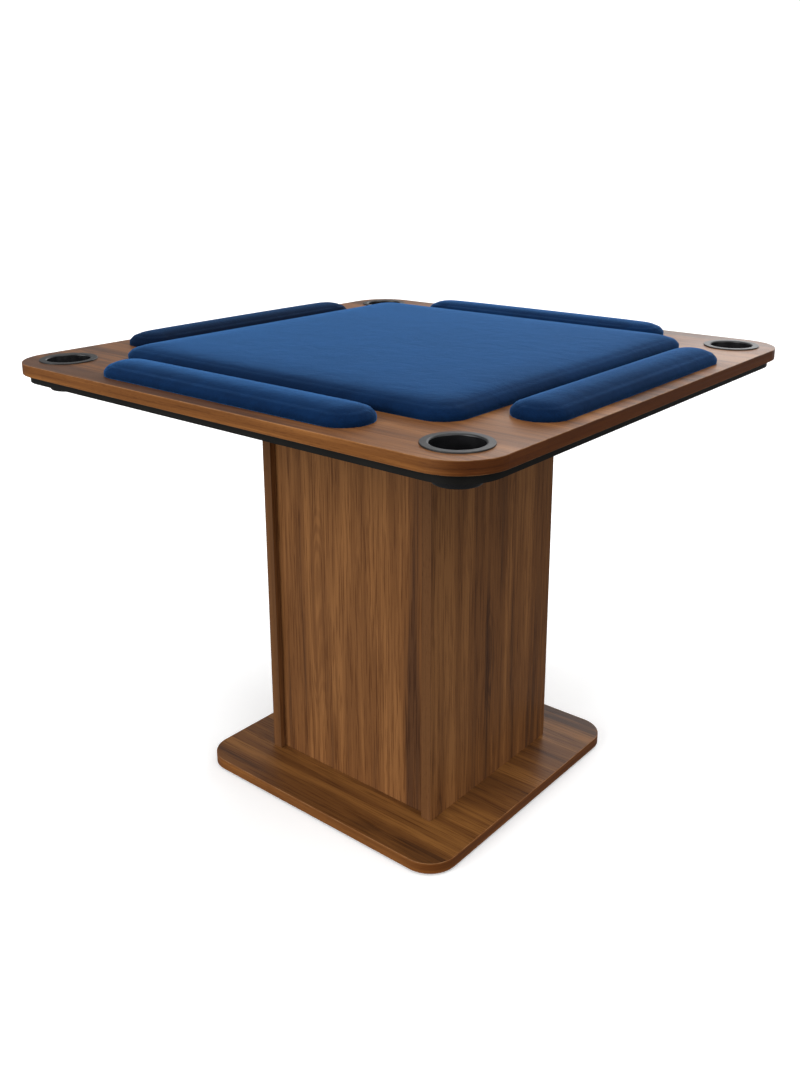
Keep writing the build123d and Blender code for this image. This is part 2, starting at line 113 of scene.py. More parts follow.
# ------------------------------------------------------------------ node trees
class NodeSheet:
    """One material's node tree, with short calls for the nodes that the finishes share."""

    def __init__(self, name: str) -> None:
        """Start a material with a principled shader.

        Args:
            name: Name of the new material.
        """
        self.material = bpy.data.materials.new(name)
        self.material.use_nodes = True
        self.tree = self.material.node_tree
        self.shader = self.tree.nodes["Principled BSDF"]

    def node(self, kind: str, inputs: dict | None = None, **settings: object) -> bpy.types.Node:
        """Add a node.

        Args:
            kind: Blender's name of the node's class.
            inputs: Values or sockets for its inputs, by name or by place.
            settings: Properties of the node itself.

        Returns:
            The new node.
        """
        made = self.tree.nodes.new(kind)
        for key, value in settings.items():
            setattr(made, key, value)
        for key, value in (inputs or {}).items():
            self.feed(made.inputs[key], value)
        return made

    def feed(self, socket: bpy.types.NodeSocket, value: object) -> None:
        """Link a socket into an input, or set the input's value.

        Args:
            socket: The input.
            value: A socket, a number, a triple or a colour.
        """
        if isinstance(value, bpy.types.NodeSocket):
            self.tree.links.new(value, socket)
        elif isinstance(value, tuple) and socket.type == "RGBA":
            socket.default_value = (*value[:3], 1.0)
        else:
            socket.default_value = value

    def place(self, scale: Triple = (1, 1, 1), shift: Triple = (0, 0, 0)) -> bpy.types.NodeSocket:
        """Object coordinates, stretched and moved.

        Args:
            scale: Factor along each axis.
            shift: Offset along each axis, after scaling.

        Returns:
            The mapped vector.
        """
        where = self.node("ShaderNodeTexCoord").outputs["Object"]
        mapped = self.node("ShaderNodeMapping", {"Vector": where, "Scale": scale, "Location": shift})
        return mapped.outputs["Vector"]

    def noise(
        self,
        point: bpy.types.NodeSocket,
        detail: float = 2.0,
        roughness: float = 0.5,
        distortion: float = 0.0,
    ) -> bpy.types.NodeSocket:
        """Soft random pattern, about 0.5 in the middle.

        Args:
            point: Where it is read.
            detail: Number of finer layers.
            roughness: Strength of the finer layers.
            distortion: How much it is swirled.

        Returns:
            The pattern's value.
        """
        made = self.node(
            "ShaderNodeTexNoise",
            {
                "Vector": point,
                "Scale": 1.0,
                "Detail": detail,
                "Roughness": roughness,
                "Distortion": distortion,
            },
        )
        return made.outputs["Fac"]

    def maths(self, operation: str, first: object, second: object = 0.0) -> bpy.types.NodeSocket:
        """Arithmetic on two values.

        Args:
            operation: Blender's name of the operation.
            first: Socket or number.
            second: Socket or number.

        Returns:
            The result.
        """
        made = self.node("ShaderNodeMath", {0: first, 1: second}, operation=operation)
        return made.outputs[0]

    def fit(
        self,
        value: bpy.types.NodeSocket,
        from_low: float,
        from_high: float,
        to_low: float = 0.0,
        to_high: float = 1.0,
    ) -> bpy.types.NodeSocket:
        """Move a value from one range to another, held at both ends.

        Args:
            value: The value.
            from_low: Start of its range.
            from_high: End of its range.
            to_low: What the start becomes.
            to_high: What the end becomes.

        Returns:
            The moved value.
        """
        made = self.node(
            "ShaderNodeMapRange",
            {
                "Value": value,
                "From Min": from_low,
                "From Max": from_high,
                "To Min": to_low,
                "To Max": to_high,
            },
            interpolation_type="SMOOTHSTEP",
        )
        return made.outputs["Result"]

    def ramp(self, value: bpy.types.NodeSocket, *stops: tuple[float, Colour]) -> bpy.types.NodeSocket:
        """Turn a value into a colour.

        Args:
            value: The value, 0 to 1.
            stops: Place and colour of each stop, in order.

        Returns:
            The colour.
        """
        made = self.node("ShaderNodeValToRGB", {"Fac": value})
        band = made.color_ramp
        band.interpolation = "EASE"
        for _ in range(len(stops) - len(band.elements)):
            band.elements.new(0.5)
        for element, (position, colour) in zip(band.elements, stops):
            element.position = position
            element.color = (*colour, 1.0)
        return made.outputs["Color"]

    def mix(self, mode: str, amount: object, under: object, over: object) -> bpy.types.NodeSocket:
        """Blend two colours.

        Args:
            mode: Blender's name of the blend.
            amount: Share of the second colour.
            under: First colour.
            over: Second colour.

        Returns:
            The blended colour.
        """
        made = self.node("ShaderNodeMix", data_type="RGBA", blend_type=mode)
        self.feed(made.inputs["Factor"], amount)
        self.feed(made.inputs[MIX_UNDER], under)
        self.feed(made.inputs[MIX_OVER], over)
        return made.outputs[MIX_RESULT]

    def weigh(self, *layers: tuple[bpy.types.NodeSocket, float]) -> bpy.types.NodeSocket:
        """Add up patterns by their weights.

        Args:
            layers: Each pattern and its weight.

        Returns:
            The sum.
        """
        total = None
        for value, weight in layers:
            part = self.maths("MULTIPLY", value, weight)
            total = part if total is None else self.maths("ADD", total, part)
        return total

    def height(self) -> bpy.types.NodeSocket:
        """Height above the floor."""
        return self.node("ShaderNodeSeparateXYZ", {"Vector": self.place()}).outputs["Z"]

    def relief(
        self,
        height: bpy.types.NodeSocket,
        distance: float,
        strength: float = 1.0,
        below: bpy.types.NodeSocket | None = None,
    ) -> bpy.types.NodeSocket:
        """Bump from a height.

        Args:
            height: Height, 0 to 1.
            distance: Depth of the whole range, in metres.
            strength: Share of the effect.
            below: Bump that this one lies on.

        Returns:
            The bumped normal.
        """
        inputs = {"Height": height, "Distance": distance, "Strength": strength}
        if below is not None:
            inputs["Normal"] = below
        return self.node("ShaderNodeBump", inputs).outputs["Normal"]

    def surface(self, **inputs: object) -> bpy.types.Material:
        """Feed the shader and hand over the material.

        Args:
            inputs: Shader inputs, with underscores for spaces.

        Returns:
            The finished material.
        """
        for key, value in inputs.items():
            self.feed(self.shader.inputs[key.replace("_", " ")], value)
        return self.material


# ------------------------------------------------------------------ finishes
@dataclass(frozen=True)
class WalnutLaminate:
    """Satin walnut-grain laminate: straight bands of golden and dark brown, streaks and fine pores."""

    name: str
    grain: Grain
    shift: Triple = (0.0, 0.0, 0.0)
    dark: Colour = (0.086, 0.036, 0.0150)
    middle: Colour = (0.175, 0.071, 0.0230)
    light: Colour = (0.268, 0.116, 0.0380)
    pore: Colour = (0.42, 0.34, 0.30)
    pore_share: float = 0.70
    drift_weight: float = 0.65
    band_weight: float = 0.75
    streak_weight: float = 0.32
    heart_weight: float = 0.10
    tone_offset: float = 0.38
    roughness: float = 0.40
    shine: float = 0.17
    pore_depth: float = 0.06 * MM
    streak_depth: float = 0.05 * MM

    def along(
        self, sheet: NodeSheet, across: float, along: float, **settings: float
    ) -> bpy.types.NodeSocket:
        """Random pattern drawn out along the grain.

        Args:
            sheet: The material's node tree.
            across: Cells per metre across the grain.
            along: Cells per metre along it.
            settings: Detail, roughness and distortion of the pattern.

        Returns:
            The pattern's value.
        """
        scale = [across, across, across]
        scale[self.grain.value] = along
        return sheet.noise(sheet.place(tuple(scale), self.shift), **settings)

    def build(self) -> bpy.types.Material:
        """Make the material.

        Returns:
            The finished material.
        """
        sheet = NodeSheet(self.name)
        drift = self.along(sheet, 9.0, 0.8, detail=1.0)
        band = self.along(sheet, 34.0, 1.1, detail=3.0, roughness=0.55, distortion=0.15)
        streak = self.along(sheet, 190.0, 3.5, detail=4.0, roughness=0.6)
        pores = self.along(sheet, 620.0, 11.0, detail=2.0, roughness=0.6)
        tone = sheet.weigh(
            (drift, self.drift_weight), (band, self.band_weight), (streak, self.streak_weight)
        )
        tone = sheet.maths("SUBTRACT", tone, self.tone_offset)
        arches = sheet.maths("MULTIPLY", self.heart(sheet), self.heart_weight)
        tone = sheet.maths("SUBTRACT", tone, arches)
        colour = sheet.ramp(tone, (0.31, self.dark), (0.48, self.middle), (0.65, self.light))
        lines = sheet.fit(pores, 0.36, 0.50)
        shade = sheet.ramp(lines, (0.0, self.pore), (1.0, WHITE))
        colour = sheet.mix("MULTIPLY", self.pore_share, colour, shade)
        rub = sheet.noise(sheet.place((6.0, 6.0, 6.0), self.shift), detail=3.0)
        rough = sheet.fit(rub, 0.30, 0.70, self.roughness - 0.04, self.roughness + 0.05)
        grooves = sheet.relief(streak, self.streak_depth, 0.5)
        normal = sheet.relief(lines, self.pore_depth, 0.7, grooves)
        return sheet.surface(
            Base_Color=colour, Roughness=rough, Specular_IOR_Level=self.shine, Normal=normal
        )

    def heart(self, sheet: NodeSheet) -> bpy.types.NodeSocket:
        """Dark drawn-out arches where the grain turns.

        Args:
            sheet: The material's node tree.

        Returns:
            Strength of the arches, 0 to 1.
        """
        turning = self.along(sheet, 21.0, 2.2, detail=1.0)
        inside = sheet.fit(turning, 0.56, 0.68)
        rings = sheet.maths("SINE", sheet.maths("MULTIPLY", turning, 150.0))
        return sheet.maths("MULTIPLY", inside, sheet.fit(rings, -1.0, 1.0, 0.35, 1.0))


@dataclass(frozen=True)
class WalnutEdge:
    """Edge banding: the grain runs along the edge all the way round, its corners are rubbed, and its
    left and right sides carry painted shade.
    """

    name: str
    low: float
    high: float
    upright: bool = False
    dark: Colour = (0.088, 0.029, 0.0065)
    middle: Colour = (0.185, 0.067, 0.0155)
    light: Colour = (0.300, 0.118, 0.029)
    fleck: Colour = (0.3, 0.2, 0.14)
    rub: Colour = (0.34, 0.17, 0.07)
    rub_width: float = 1.4 * MM
    # Painted shade: colour multiplied over the left and right sides and the corners.
    painted_side_shade: Colour = (0.42, 0.31, 0.21)
    painted_shade_from: float = -90 * MM
    painted_shade_to: float = 5 * MM
    roughness: float = 0.42
    shine: float = 0.17
    streak_depth: float = 0.05 * MM

    def along(
        self, sheet: NodeSheet, across: float, along: float, **settings: float
    ) -> bpy.types.NodeSocket:
        """Random pattern drawn out along the band.

        Args:
            sheet: The material's node tree.
            across: Cells per metre across the band.
            along: Cells per metre along it.
            settings: Detail, roughness and distortion of the pattern.

        Returns:
            The pattern's value.
        """
        scale = (across, across, along) if self.upright else (along, along, across)
        return sheet.noise(sheet.place(scale), **settings)

    def build(self) -> bpy.types.Material:
        """Make the material.

        Returns:
            The finished material.
        """
        sheet = NodeSheet(self.name)
        streak = self.along(sheet, 420.0, 2.2, detail=3.0, roughness=0.6, distortion=0.2)
        if self.upright:
            band = self.along(sheet, 90.0, 1.2, detail=2.0, roughness=0.55)
        else:
            band = self.along(sheet, 110.0, 3.5, detail=2.0, roughness=0.55)
        specks = sheet.fit(self.along(sheet, 1200.0, 70.0, detail=1.0), 0.32, 0.44)
        tone = sheet.maths("SUBTRACT", sheet.weigh((band, 0.9), (streak, 0.6)), 0.26)
        colour = sheet.ramp(tone, (0.20, self.dark), (0.48, self.middle), (0.78, self.light))
        shade = sheet.ramp(specks, (0.0, self.fleck), (1.0, WHITE))
        colour = sheet.mix("MULTIPLY", 0.3, colour, shade)
        if not self.upright:
            # Painted shade on the left and right sides and the corners.
            colour = sheet.mix("MULTIPLY", self.painted_shade_share(sheet), colour, self.painted_side_shade)
            colour = sheet.mix("MIX", self.rubbed(sheet), colour, self.rub)
        rough = sheet.fit(streak, 0.3, 0.7, self.roughness - 0.06, self.roughness + 0.06)
        normal = sheet.relief(streak, self.streak_depth, 0.6)
        return sheet.surface(
            Base_Color=colour, Roughness=rough, Specular_IOR_Level=self.shine, Normal=normal
        )

    def painted_shade_share(self, sheet: NodeSheet) -> bpy.types.NodeSocket:
        """Share of painted shade, which darkens the left and right sides and the corners.

        Args:
            sheet: The material's node tree.

        Returns:
            The share, 0 to 1.
        """
        place = sheet.node("ShaderNodeSeparateXYZ", {"Vector": sheet.place()})
        across = sheet.maths("ABSOLUTE", place.outputs["X"])
        along = sheet.maths("ABSOLUTE", place.outputs["Y"])
        return sheet.fit(sheet.maths("SUBTRACT", across, along), self.painted_shade_from, self.painted_shade_to)

    def rubbed(self, sheet: NodeSheet) -> bpy.types.NodeSocket:
        """Share of rubbed colour near the band's upper and lower edges.

        Args:
            sheet: The material's node tree.

        Returns:
            The share, 0 to 1.
        """
        middle = (self.low + self.high) / 2
        reach = (self.high - self.low) / 2
        off = sheet.maths("ABSOLUTE", sheet.maths("SUBTRACT", sheet.height(), middle))
        near = sheet.fit(off, reach - self.rub_width, reach, 0.0, 0.55)
        patchy = sheet.fit(sheet.noise(sheet.place((55.0, 55.0, 55.0)), detail=3.0), 0.38, 0.62)
        patches = sheet.maths("ADD", 0.35, sheet.maths("MULTIPLY", patchy, 0.65))
        return sheet.maths("MULTIPLY", near, patches)


@dataclass(frozen=True)
class BlackPaint:
    """Matt black paint on board, with a faint roller texture and dust."""

    name: str
    colour: Colour = (0.0048, 0.0044, 0.0036)
    dust_gain: float = 2.1
    shine: float = 0.18
    stipple_depth: float = 0.06 * MM

    def build(self) -> bpy.types.Material:
        """Make the material.

        Returns:
            The finished material.
        """
        sheet = NodeSheet(self.name)
        stipple = sheet.noise(sheet.place((900.0, 900.0, 900.0)), detail=2.0)
        cloud = sheet.noise(sheet.place((9.0, 9.0, 9.0)), detail=4.0, roughness=0.6)
        dusty = tuple(self.dust_gain * part for part in self.colour)
        colour = sheet.mix("MIX", sheet.fit(cloud, 0.4, 0.75, 0.0, 0.7), self.colour, dusty)
        rough = sheet.fit(cloud, 0.3, 0.7, 0.50, 0.62)
        return sheet.surface(
            Base_Color=colour,
            Roughness=rough,
            Specular_IOR_Level=self.shine,
            Normal=sheet.relief(stipple, self.stipple_depth, 0.6),
        )


@dataclass(frozen=True)
class GlossPlastic:
    """Glossy black moulding with faint flow waves and wiping marks, and a satin rim."""

    name: str
    rim_start: float
    colour: Colour = (0.0055, 0.0055, 0.006)
    cloud_gain: float = 2.0
    rim_blend: float = 1.5 * MM
    rim_roughness: float = 0.30
    flow_depth: float = 0.10 * MM
    wipe_depth: float = 0.01 * MM

    def build(self) -> bpy.types.Material:
        """Make the material.

        Returns:
            The finished material.
        """
        sheet = NodeSheet(self.name)
        flow = sheet.noise(sheet.place((60.0, 60.0, 60.0)), detail=1.0)
        wiped = sheet.noise(sheet.place((140.0, 900.0, 300.0)), detail=3.0, roughness=0.7)
        cloud = sheet.noise(sheet.place((35.0, 35.0, 35.0)), detail=3.0)
        lighter = tuple(self.cloud_gain * part for part in self.colour)
        colour = sheet.mix("MIX", sheet.fit(cloud, 0.35, 0.7), self.colour, lighter)
        rim_end = self.rim_start + self.rim_blend
        on_rim = sheet.fit(sheet.height(), self.rim_start, rim_end, 0.0, self.rim_roughness)
        bowl = sheet.fit(sheet.mix("MIX", 0.5, wiped, cloud), 0.3, 0.7, 0.10, 0.18)
        rough = sheet.maths("ADD", bowl, on_rim)
        waves = sheet.relief(flow, self.flow_depth, 0.25)
        normal = sheet.relief(wiped, self.wipe_depth, 0.5, waves)
        return sheet.surface(Base_Color=colour, Roughness=rough, Normal=normal)


@dataclass(frozen=True)
class Velvet:
    """Short-pile blue velvet: dark face on, pale and blue at a glancing angle, with brushed marks."""

    name: str
    deep: Colour = (0.0005, 0.0088, 0.0340)
    brushed: Colour = (0.0012, 0.0140, 0.0510)
    # Painted shade in the pile's hollows.
    painted_pile_shade: Colour = (0.45, 0.48, 0.55)
    lint: Colour = (0.004, 0.012, 0.035)
    sheen_colour: Colour = (0.115, 0.40, 1.00)
    sheen: float = 0.48
    # Painted light and shade: scale of the colour and the sheen.
    painted_light_and_shade: float = 1.0
    marks_depth: float = 1.4 * MM
    tuft_depth: float = 0.60 * MM
    pile_depth: float = 0.25 * MM
    shift: Triple = (0.0, 0.0, 0.0)

    def pattern(self, sheet: NodeSheet, scale: Triple, **settings: float) -> bpy.types.NodeSocket:
        """Random pattern on the cloth.

        Args:
            sheet: The material's node tree.
            scale: Cells per metre along each axis.
            settings: Detail, roughness and distortion of the pattern.

        Returns:
            The pattern's value.
        """
        return sheet.noise(sheet.place(scale, self.shift), **settings)

    def build(self) -> bpy.types.Material:
        """Make the material.

        Returns:
            The finished material.
        """
        sheet = NodeSheet(self.name)
        wide = self.pattern(sheet, (7.0, 7.0, 7.0), detail=3.0, roughness=0.55, distortion=0.6)
        marks = self.pattern(sheet, (26.0, 40.0, 34.0), detail=4.0, roughness=0.6, distortion=0.8)
        pile = self.pattern(sheet, (1500.0, 1500.0, 1500.0), detail=2.0, roughness=0.7)
        tuft = self.pattern(sheet, (420.0, 420.0, 420.0), detail=2.0, roughness=0.6)
        nap = sheet.weigh((wide, 0.65), (marks, 0.45), (tuft, 0.40))
        # Painted light and shade: colour and sheen scaled per pad.
        deep = tuple(self.painted_light_and_shade * part for part in self.deep)
        brushed = tuple(self.painted_light_and_shade * part for part in self.brushed)
        colour = sheet.mix("MIX", sheet.fit(nap, 0.62, 0.90), deep, brushed)
        # Painted shade in the pile's hollows: darker where the pile's bump is low.
        painted_pile_shade_tint = sheet.ramp(pile, (0.3, self.painted_pile_shade), (0.7, WHITE))
        colour = sheet.mix("MULTIPLY", 0.45, colour, painted_pile_shade_tint)
        flecks = self.pattern(sheet, (260.0, 260.0, 260.0), detail=0.0)
        colour = sheet.mix("MIX", sheet.fit(flecks, 0.795, 0.83, 0.0, 0.5), colour, self.lint)
        normal = sheet.relief(marks, self.marks_depth, 0.5)
        normal = sheet.relief(tuft, self.tuft_depth, 0.6, normal)
        normal = sheet.relief(pile, self.pile_depth, 0.55, normal)
        return sheet.surface(
            Base_Color=colour,
            Roughness=0.88,
            Specular_IOR_Level=0.06,
            Sheen_Weight=self.sheen * self.painted_light_and_shade,
            Sheen_Roughness=0.34,
            Sheen_Tint=self.sheen_colour,
            Normal=normal,
        )


@dataclass(frozen=True)
class RawStuff:
    """Plain inner material: a mottled colour with a fine tooth."""

    name: str
    colour: Colour
    other: Colour
    grain: Triple
    roughness: float
    metallic: float = 0.0
    tooth_depth: float = 0.05 * MM

    def build(self) -> bpy.types.Material:
        """Make the material.

        Returns:
            The finished material.
        """
        sheet = NodeSheet(self.name)
        pattern = sheet.noise(sheet.place(self.grain), detail=4.0, roughness=0.6)
        fine = sheet.noise(sheet.place((1100.0, 1100.0, 1100.0)), detail=2.0)
        colour = sheet.ramp(pattern, (0.32, self.colour), (0.68, self.other))
        rough = sheet.fit(pattern, 0.3, 0.7, self.roughness - 0.06, self.roughness + 0.08)
        return sheet.surface(
            Base_Color=colour,
            Roughness=rough,
            Metallic=self.metallic,
            Normal=sheet.relief(fine, self.tooth_depth, 0.5),
        )


# ------------------------------------------------------------------ shared making steps
def new_object(name: str, shape: bmesh.types.BMesh) -> bpy.types.Object:
    """Turn a bmesh into an object at the origin.

    Args:
        name: Name of the object.
        shape: Its mesh, in the table's own frame. It is freed.

    Returns:
        The new object.
    """
    mesh = bpy.data.meshes.new(name)
    shape.to_mesh(mesh)
    shape.free()
    made = bpy.data.objects.new(name, mesh)
    bpy.context.scene.collection.objects.link(made)
    return made


def apply_modifiers(piece: bpy.types.Object) -> None:
    """Apply every modifier of a piece.

    Args:
        piece: The piece.
    """
    graph = bpy.context.evaluated_depsgraph_get()
    mesh = bpy.data.meshes.new_from_object(piece.evaluated_get(graph))
    piece.modifiers.clear()
    old = piece.data
    piece.data = mesh
    bpy.data.meshes.remove(old)
    mesh.name = piece.name


def dress(piece: bpy.types.Object, material: bpy.types.Material) -> None:
    """Give a whole piece one material.

    Args:
        piece: The piece.
        material: Its finish.
    """
    piece.data.materials.clear()
    piece.data.materials.append(material)
    for slot in piece.material_slots:
        slot.material = material


# ------------------------------------------------------------------ pads
@dataclass(frozen=True)
class CoverCloth:
    """How the pads' covers behave while they are puffed."""

    quality: int = 6
    mass: float = 0.25
    stretch: float = 12.0
    shear: float = 6.0
    bend: float = 2.0
    frames: int = 20

    def apply(self, piece: bpy.types.Object, held: str, pressure: float) -> None:
        """Run the cloth simulation on a pad and keep its result.

        Args:
            piece: The pad, which is changed.
            held: Name of the vertex group that stays in place.
            pressure: Pressure inside the cover.
        """
        cloth = piece.modifiers.new("cloth", "CLOTH")
        settings = cloth.settings
        settings.quality = self.quality
        settings.mass = self.mass
        settings.tension_stiffness = self.stretch
        settings.compression_stiffness = self.stretch
        settings.shear_stiffness = self.shear
        settings.bending_stiffness = self.bend
        settings.use_pressure = True
        settings.uniform_pressure_force = pressure
        settings.vertex_group_mass = held
        settings.effector_weights.gravity = 0.0
        cloth.collision_settings.use_collision = False
        cloth.collision_settings.use_self_collision = False
        scene = bpy.context.scene
        scene.frame_start, scene.frame_end = 1, self.frames
        cloth.point_cache.frame_start, cloth.point_cache.frame_end = 1, self.frames
        for frame in range(1, self.frames + 1):
            scene.frame_set(frame)
        apply_modifiers(piece)
        scene.frame_set(1)


@dataclass
class Pad:
    """A velvet pad: foam on a board, under a cover that is drawn tight and turned in below."""

    name: str
    cover: str
    foam: str
    corner: float
    shoulder: float
    finish: bpy.types.Material
    voxel: float = 4.0 * MM
    slack: float = 0.5 * MM
    reach: float = 1.4 * MM
    pressure: float = 3.0
    fill: float = 0.85
    tuck: float = 7.5 * MM
    proud: float = 0.5 * MM
    side_facing: float = 0.35
    fullness: float = 2.1
    corner_steps: int = 14
    easing_passes: int = 14
    cloth: CoverCloth = CoverCloth()
    low: Vector = field(init=False)
    high: Vector = field(init=False)

    def __post_init__(self) -> None:
        """Read the pad's place from the frame."""
        self.low, self.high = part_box(self.cover)

    def blank(self) -> bmesh.types.BMesh:
        """Straight-sided block with rounded corners, a little smaller than the pad.

        Returns:
            The block.
        """
        size = self.high - self.low
        height = size.z - self.slack
        shape = bmesh.new()
        bmesh.ops.create_cube(shape, size=1.0)
        scale = Vector((size.x - 2 * self.slack, size.y - 2 * self.slack, height))
        bmesh.ops.scale(shape, vec=scale, verts=shape.verts)
        upright = [
            edge for edge in shape.edges if abs(edge.verts[0].co.z - edge.verts[1].co.z) > height / 2
        ]
        bmesh.ops.bevel(
            shape,
            geom=upright,
            offset=self.corner - self.slack,
            segments=self.corner_steps,
            profile=0.5,
            affect="EDGES",
            material=-1,
            clamp_overlap=True,
        )
        bmesh.ops.remove_doubles(shape, verts=shape.verts, dist=MERGE_DISTANCE)
        centre = (self.low + self.high) / 2
        bmesh.ops.translate(
            shape, vec=(centre.x, centre.y, self.low.z + height / 2), verts=shape.verts
        )
        bmesh.ops.recalc_face_normals(shape, faces=shape.faces)
        return shape

    def to_outline(self, point: Vector) -> tuple[float, Vector]:
        """Find how far a point lies outside the pad's outline.

        Args:
            point: The point.

        Returns:
            The distance, below zero inside, and the way outwards.
        """
        centre = (self.low + self.high) / 2
        half = (self.high - self.low) / 2
        off = point - centre
        side = Vector((abs(off.x) - half.x + self.corner, abs(off.y) - half.y + self.corner))
        outer = Vector((max(side.x, 0.0), max(side.y, 0.0)))
        distance = outer.length + min(max(side.x, side.y), 0.0) - self.corner
        if outer.length > 0:
            way = outer.normalized()
        else:
            way = Vector((1.0, 0.0)) if side.x > side.y else Vector((0.0, 1.0))
        return distance, Vector((math.copysign(way.x, off.x), math.copysign(way.y, off.y), 0.0))

    def crown(self, piece: bpy.types.Object) -> None:
        """Turn the block's square section into a full rounded shoulder.

        Args:
            piece: The pad, which is changed.
        """
        height = self.high.z - self.low.z - self.slack
        shape = bmesh.new()
        shape.from_mesh(piece.data)
        for vert in shape.verts:
            distance, way = self.to_outline(vert.co)
            reach = 1.0 + distance / self.shoulder
            rise = max(vert.co.z - self.low.z, 0.0) / height
            if reach <= 0 or rise <= 0:
                continue
            power = self.fullness
            shell = 1.0 if rise * height > self.voxel / 2 else max(reach, rise)
            share = shell / (reach**power + rise**power) ** (1.0 / power)
            vert.co -= way * reach * (1.0 - share) * self.shoulder
            vert.co.z = self.low.z + rise * share * height
        shape.to_mesh(piece.data)
        shape.free()

    def build(self) -> bpy.types.Object:
        """Make the pad, puffed by a cloth simulation.

        Returns:
            The finished pad.
        """
        piece = new_object(self.name, self.blank())
        remesh = piece.modifiers.new("even", "REMESH")
        remesh.mode = "VOXEL"
        remesh.voxel_size = self.voxel
        apply_modifiers(piece)
        self.crown(piece)
        self.puff(piece)
        self.settle(piece)
        divide = piece.modifiers.new("smooth", "SUBSURF")
        divide.levels = 1
        divide.render_levels = 1
        apply_modifiers(piece)
        self.tighten(piece, LEAST_MARGIN)
        for face in piece.data.polygons:
            face.use_smooth = True
        dress(piece, self.finish)
        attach(piece, TABLE_BODY)
        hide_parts(self.cover, self.foam)
        LOG.info("%s: %d faces", self.name, len(piece.data.polygons))
        return piece

    def puff(self, piece: bpy.types.Object) -> None:
        """Swell the cover by pressure, held where it turns in under the board.

        Args:
            piece: The pad, which is changed.
        """
        rest = [vert.co.copy() for vert in piece.data.vertices]
        held = piece.vertex_groups.new(name="held")
        hem = self.low.z + HEM_SHARE * self.voxel
        held.add([index for index, point in enumerate(rest) if point.z < hem], 1.0, "REPLACE")
        self.cloth.apply(piece, held.name, self.pressure)
        for vert, point in zip(piece.data.vertices, rest):
            moved = vert.co - point
            if moved.length > self.reach:
                vert.co = point + moved * (self.reach / moved.length)

    def settle(self, piece: bpy.types.Object) -> None:
        """Ease the cover, and draw its lower edge tight round the board.

        Args:
            piece: The pad, which is changed.
        """
        shape = bmesh.new()
        shape.from_mesh(piece.data)
        for _ in range(self.easing_passes):
            bmesh.ops.smooth_vert(
                shape, verts=shape.verts, factor=0.5, use_axis_x=True, use_axis_y=True, use_axis_z=True
            )
        shape.to_mesh(piece.data)
        shape.free()
        self.tighten(piece, self.proud)

    def tighten(self, piece: bpy.types.Object, margin: float) -> None:
        """Keep the cover's side outside the board, and its underside flat.

        Args:
            piece: The pad, which is changed.
            margin: How far outside the pad's outline the side's foot stays at least.
        """
        shape = bmesh.new()
        shape.from_mesh(piece.data)
        shape.normal_update()
        for vert in shape.verts:
            if vert.normal.xy.length > self.side_facing:
                self.push_out(vert.co, margin)
            under = vert.normal.z < UNDERSIDE_NORMAL
            if under and vert.co.z - self.low.z < UNDERSIDE_SHARE * self.voxel:
                vert.co.z = self.low.z + UNDERSIDE_LIFT
        shape.to_mesh(piece.data)
        shape.free()

    def push_out(self, point: Vector, margin: float) -> None:
        """Move a point of the cover's side outwards where it would let the board show.

        Args:
            point: The point, which is moved.
            margin: How far outside the pad's outline it stays at least, at the foot.
        """
        distance, way = self.to_outline(point)
        rise = point.z - self.low.z
        wanted = margin - max(rise - self.tuck, 0.0)
        if distance < wanted and rise < 2 * self.tuck:
            point += way * (wanted - distance)


# ------------------------------------------------------------------ top, column and base
WALNUT_BOARDS = (
    ("top_board", "walnut_top", Grain.ALONG_X, (0.3, 5.1, 2.0)),
    ("column_front_panel", "walnut_front", Grain.ALONG_Z, (2.0, 0.4, 0.0)),
    ("column_back_panel", "walnut_back", Grain.ALONG_Z, (7.0, 3.3, 1.0)),
    ("column_side_left", "walnut_left", Grain.ALONG_Z, (1.0, 8.2, 3.0)),
    ("column_side_right", "walnut_right", Grain.ALONG_Z, (5.0, 6.4, 2.0)),
    ("column_cap", "walnut_cap", Grain.ALONG_X, (3.0, 2.0, 1.0)),
    ("column_sole", "walnut_sole", Grain.ALONG_X, (6.0, 1.0, 4.0)),
)
# Painted shade: a darker copy of the walnut for the base board, for the shade that the top casts on
# it.
BASE_WALNUT_PAINTED_SHADE = ((0.066, 0.026, 0.0092), (0.146, 0.057, 0.0155), (0.238, 0.100, 0.0260))
# Painted shade on the base band's sides, weaker than on the top's band.
BASE_PAINTED_SHADE = (0.72, 0.62, 0.52)
UPRIGHT_WALNUT = ((0.062, 0.026, 0.0100), (0.138, 0.058, 0.0200), (0.215, 0.094, 0.0360))
RIM_ABOVE_BLACK_BOARD = 17 * MM
HIDDEN_STUFF = (
    (
        RawStuff("raw_plywood", (0.50, 0.34, 0.19), (0.64, 0.47, 0.29), (4.0, 40.0, 60.0), 0.7),
        ("centre_pad_board", *(f"armrest_{side}_board" for side in SIDES)),
    ),
    (
        RawStuff("zinc_plate", (0.52, 0.51, 0.47), (0.66, 0.65, 0.62), (300.0,) * 3, 0.34, 1.0),
        (
            "sub_top_screws",
            "centre_pad_screws",
            "armrest_screws",
            "top_fixing_screws",
            "base_fixing_screws",
            "back_panel_screws",
            "glide_screws",
            "column_cam_bolts",
        ),
    ),
    (
        RawStuff("cast_zinc", (0.34, 0.34, 0.33), (0.46, 0.46, 0.45), (200.0,) * 3, 0.5, 1.0),
        ("column_cams",),
    ),
    (
        RawStuff("raw_beech", (0.52, 0.34, 0.18), (0.62, 0.43, 0.25), (30.0, 260.0, 260.0), 0.7),
        ("column_dowels",),
    ),
    (
        RawStuff("glide_plastic", (0.030, 0.027, 0.024), (0.05, 0.045, 0.04), (90.0,) * 3, 0.55),
        ("base_glides",),
    ),
)


